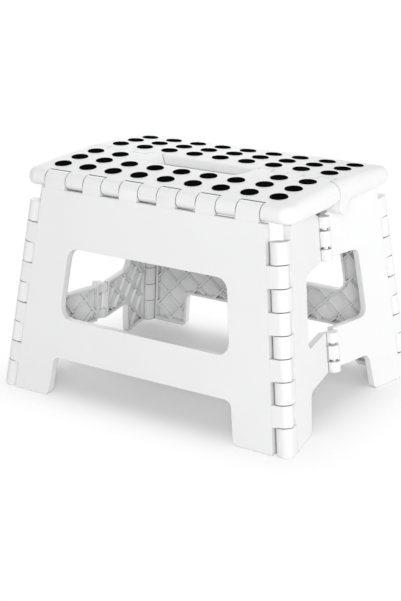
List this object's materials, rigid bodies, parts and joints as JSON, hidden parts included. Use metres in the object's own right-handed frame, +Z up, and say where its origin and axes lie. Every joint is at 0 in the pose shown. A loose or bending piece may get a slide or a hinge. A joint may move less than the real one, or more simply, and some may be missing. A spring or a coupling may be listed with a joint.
{
  "type": "folding step stool",
  "caption": "White plastic step stool that folds flat: a split top with raised grip dots and a hand scoop, windowed side panels with feet, and end panels that crease inwards.",
  "frame": {"origin": "on the floor, under the middle of the open stool", "axes": "+X along the length of the top, +Y from the panel shown at the front to the rear, +Z up"},
  "size_m": [0.3254, 0.247, 0.2204],
  "materials": {
    "white_plastic": "satin moulded polypropylene",
    "pin_steel": "drawn wire"
  },
  "bodies": {
    "top_front": {"top_front": "white_plastic", "centre_pin_right": "pin_steel", "centre_pin_left": "pin_steel", "front_edge_pin": "pin_steel"},
    "top_rear": {"top_rear": "white_plastic", "rear_edge_pin": "pin_steel"},
    "front_panel": {"front_panel": "white_plastic", "corner_pin_front_right": "pin_steel", "corner_pin_front_left": "pin_steel"},
    "rear_panel": {"rear_panel": "white_plastic", "corner_pin_rear_right": "pin_steel", "corner_pin_rear_left": "pin_steel"},
    "right_end_front": {"right_end_front": "white_plastic", "crease_pin_right_1": "pin_steel", "crease_pin_right_2": "pin_steel", "crease_pin_right_3": "pin_steel", "crease_pin_right_4": "pin_steel"},
    "right_end_rear": {"right_end_rear": "white_plastic"},
    "left_end_front": {"left_end_front": "white_plastic"},
    "left_end_rear": {"left_end_rear": "white_plastic", "crease_pin_left_1": "pin_steel", "crease_pin_left_2": "pin_steel", "crease_pin_left_3": "pin_steel", "crease_pin_left_4": "pin_steel"}
  },
  "joints": [
    {"name": "top_fold", "type": "hinge", "parent": "top_front", "child": "top_rear", "pos_m": [0, 0, 0.1975], "axis": [-1, 0, 0], "range_deg": [0, 180]},
    {"name": "front_panel_swing", "type": "hinge", "parent": "top_front", "child": "front_panel", "pos_m": [0, -0.0916, 0.20728], "axis": [-1, 0, 0], "range_deg": [0, 84.15]},
    {"name": "rear_panel_swing", "type": "hinge", "parent": "top_rear", "child": "rear_panel", "pos_m": [0, 0.0916, 0.20728], "axis": [1, 0, 0], "range_deg": [0, 84.15]},
    {"name": "right_front_fold", "type": "hinge", "parent": "front_panel", "child": "right_end_front", "pos_m": [0.1546, -0.1154, 0], "axis": [-0.1241, 0.1132, 0.9858], "range_deg": [0, 79.91]},
    {"name": "left_front_fold", "type": "hinge", "parent": "front_panel", "child": "left_end_front", "pos_m": [-0.1546, -0.1154, 0], "axis": [-0.1241, -0.1132, -0.9858], "range_deg": [0, 79.91]},
    {"name": "right_rear_fold", "type": "hinge", "parent": "rear_panel", "child": "right_end_rear", "pos_m": [0.1546, 0.1154, 0], "axis": [0.1241, 0.1132, -0.9858], "range_deg": [0, 79.91]},
    {"name": "left_rear_fold", "type": "hinge", "parent": "rear_panel", "child": "left_end_rear", "pos_m": [-0.1546, 0.1154, 0], "axis": [0.1241, -0.1132, 0.9858], "range_deg": [0, 79.91]}
  ],
  "couplings": [
    {"joint": "front_panel_swing", "follows": "top_fold", "ratio": 0.46749},
    {"joint": "rear_panel_swing", "follows": "top_fold", "ratio": 0.46749},
    {"joint": "right_front_fold", "follows": "top_fold", "ratio": 0.44391},
    {"joint": "left_front_fold", "follows": "top_fold", "ratio": 0.44391},
    {"joint": "right_rear_fold", "follows": "top_fold", "ratio": 0.44391},
    {"joint": "left_rear_fold", "follows": "top_fold", "ratio": 0.44391}
  ]
}
